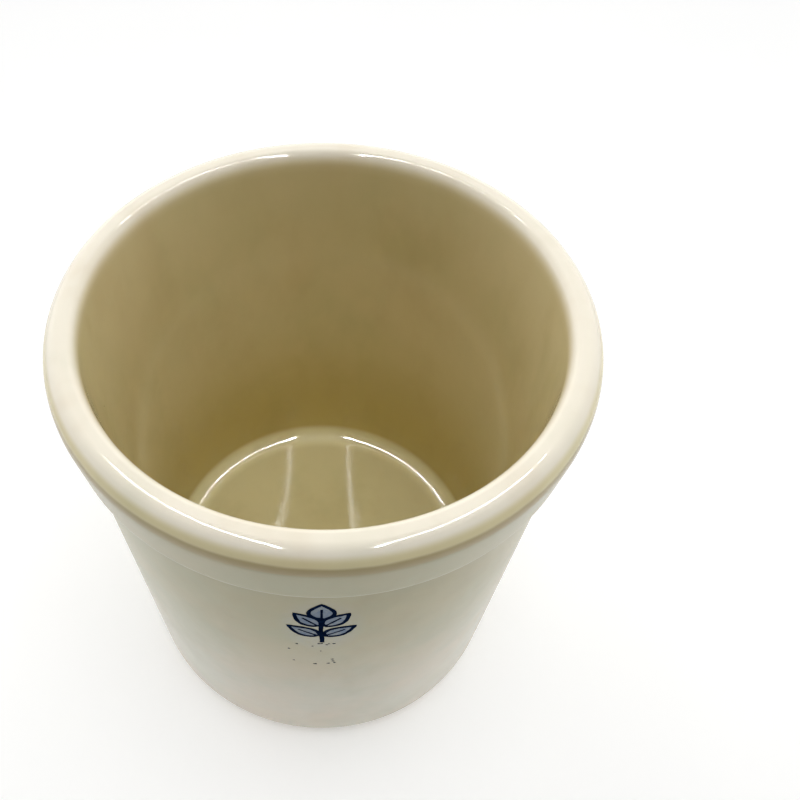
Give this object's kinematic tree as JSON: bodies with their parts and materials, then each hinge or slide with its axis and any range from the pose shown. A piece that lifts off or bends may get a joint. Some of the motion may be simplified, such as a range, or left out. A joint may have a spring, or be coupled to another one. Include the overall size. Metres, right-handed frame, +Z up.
{
  "type": "stoneware crock",
  "caption": "Open cylindrical stoneware crock with a thick rounded rim above a shallow band, glazed inside and out, with a blue sprig printed on the front.",
  "frame": {"origin": "middle of the underside, in the plane of the foot ring that the crock stands on", "axes": "+Z up along the crock's axis, -Y out of the front, where the sprig is printed, and +X to the right of someone facing the front"},
  "size_m": [0.1968, 0.1968, 0.2159],
  "materials": {
    "glazed_stoneware": "gloss",
    "cobalt_underglaze": "gloss"
  },
  "bodies": {
    "root": {"crock": "glazed_stoneware", "printed_sprig": "cobalt_underglaze"}
  },
  "joints": []
}
